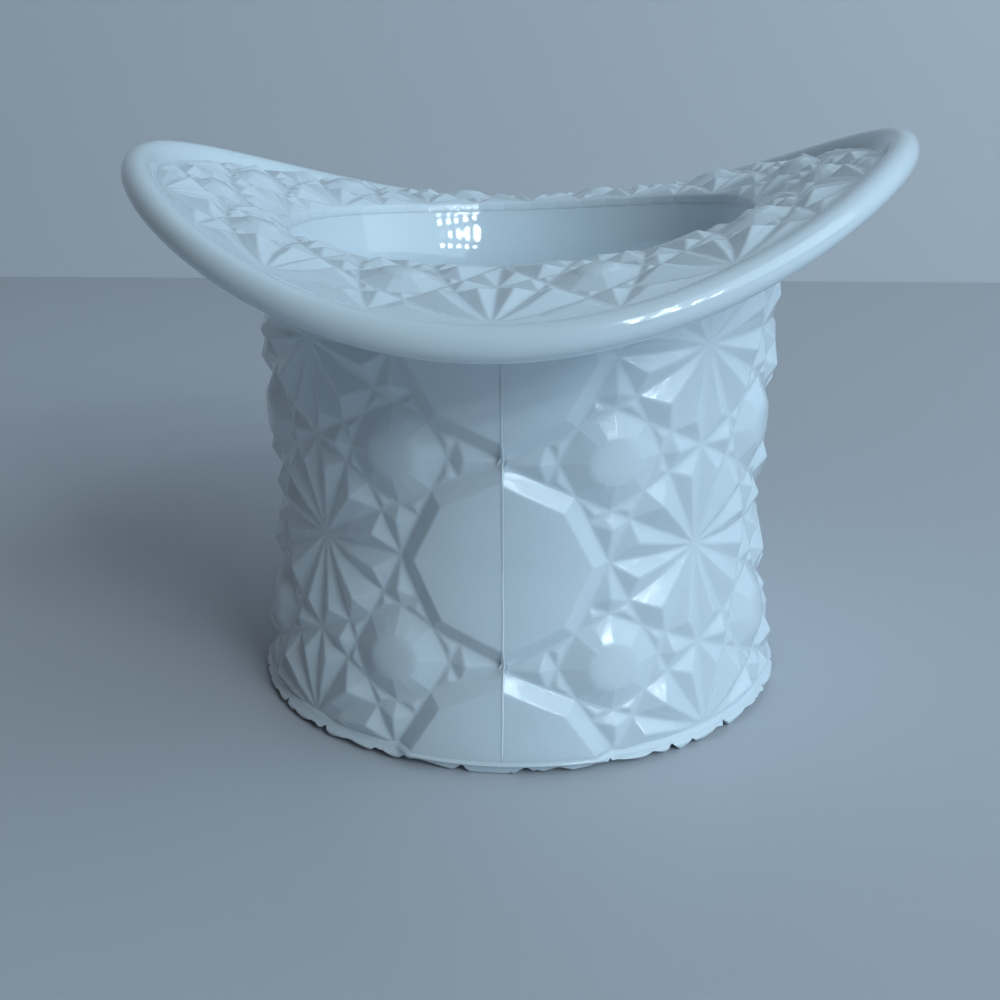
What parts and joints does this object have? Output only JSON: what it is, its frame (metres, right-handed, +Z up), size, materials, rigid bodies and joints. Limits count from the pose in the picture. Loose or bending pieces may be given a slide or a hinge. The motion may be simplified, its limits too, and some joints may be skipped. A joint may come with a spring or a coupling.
{
  "type": "pressed glass hat",
  "caption": "Small white pressed-glass top hat standing crown down as an open holder, its wall and brim covered in a star and button pattern, with a rounded rim and upturned sides.",
  "frame": {"origin": "centre of the foot's rest plane, on the crown's axis", "axes": "+Z up out of the mouth, X through the two turned-up sides of the brim, front seam towards -Y"},
  "size_m": [0.0802, 0.088, 0.0597],
  "materials": {
    "pressed_glass": "opaque white, fire-polished facets",
    "smooth_glass": "opaque white, glossy and smooth"
  },
  "bodies": {
    "root": {"foot": "pressed_glass", "crown": "smooth_glass", "crown_pattern": "pressed_glass", "brim": "smooth_glass", "brim_pattern": "pressed_glass", "rim_bead": "smooth_glass"}
  },
  "joints": []
}
